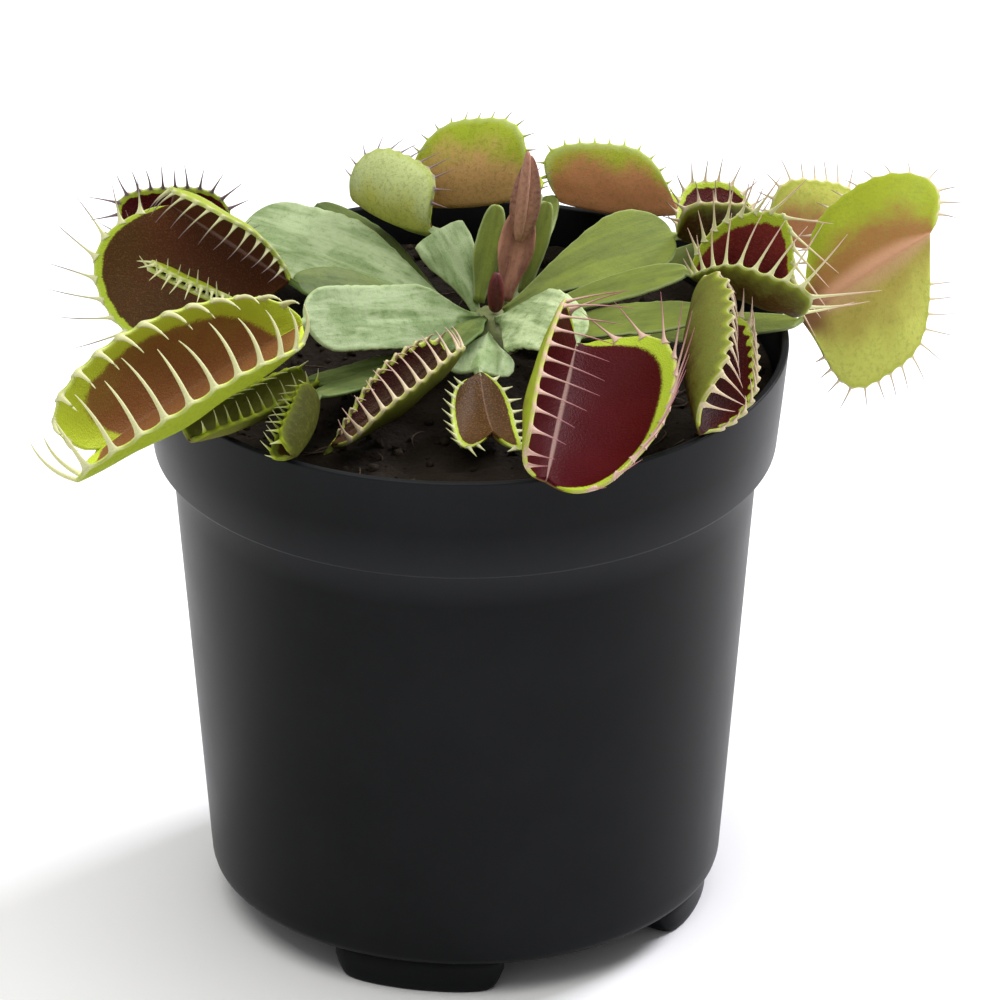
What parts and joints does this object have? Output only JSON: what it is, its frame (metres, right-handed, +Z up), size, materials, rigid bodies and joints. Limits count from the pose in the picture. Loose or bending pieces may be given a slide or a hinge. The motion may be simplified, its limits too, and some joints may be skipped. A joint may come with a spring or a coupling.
{
  "type": "potted venus flytrap",
  "caption": "Venus flytrap with toothed snap traps on broad flat leaf stalks, growing in a round black plastic nursery pot filled with dark peat.",
  "frame": {"origin": "middle of the plant's footprint, at the height of the undersides of the pot's feet", "axes": "+Z up, +X to the right as seen from the front, +Y away from the front of the plant"},
  "size_m": [0.1275, 0.1059, 0.1105],
  "materials": {
    "plastic": "satin moulded polypropylene",
    "peat": "dull, crumbly",
    "stalk": "pale sage green leaf with darker mottling",
    "dark_stalk": "dark olive green leaf",
    "green_trap": "yellow-green lobes, orange-brown towards the midrib, red inside",
    "red_trap": "dark red lobes with a green margin and pale teeth",
    "brown_trap": "red-brown lobes with a green margin and pale teeth",
    "pink_leaf": "young leaf, dull pink"
  },
  "bodies": {
    "root": {"pot": "plastic", "soil": "peat", "crown": "stalk", "petiole_a": "stalk", "trap_a": "green_trap", "petiole_b": "dark_stalk", "trap_b": "brown_trap", "petiole_c": "stalk", "trap_c": "red_trap", "petiole_d": "dark_stalk", "trap_d": "brown_trap", "petiole_e": "dark_stalk", "trap_e": "green_trap", "petiole_f": "stalk", "trap_f": "green_trap", "petiole_g": "stalk", "trap_g": "green_trap", "petiole_h": "stalk", "trap_h": "brown_trap", "petiole_i": "stalk", "trap_i": "red_trap", "petiole_j": "stalk", "trap_j": "green_trap", "petiole_k": "stalk", "trap_k": "red_trap", "petiole_l": "stalk", "trap_l": "red_trap", "petiole_m": "stalk", "trap_m": "green_trap", "petiole_n": "dark_stalk", "trap_n": "green_trap", "petiole_o": "stalk", "trap_o": "green_trap", "petiole_p": "stalk", "trap_p": "green_trap", "petiole_q": "stalk", "trap_q": "green_trap", "young_petiole": "pink_leaf", "leaflet_left": "stalk", "leaflet_right": "stalk", "petiole_r": "dark_stalk", "young_trap": "pink_leaf", "bud": "red_trap"}
  },
  "joints": []
}
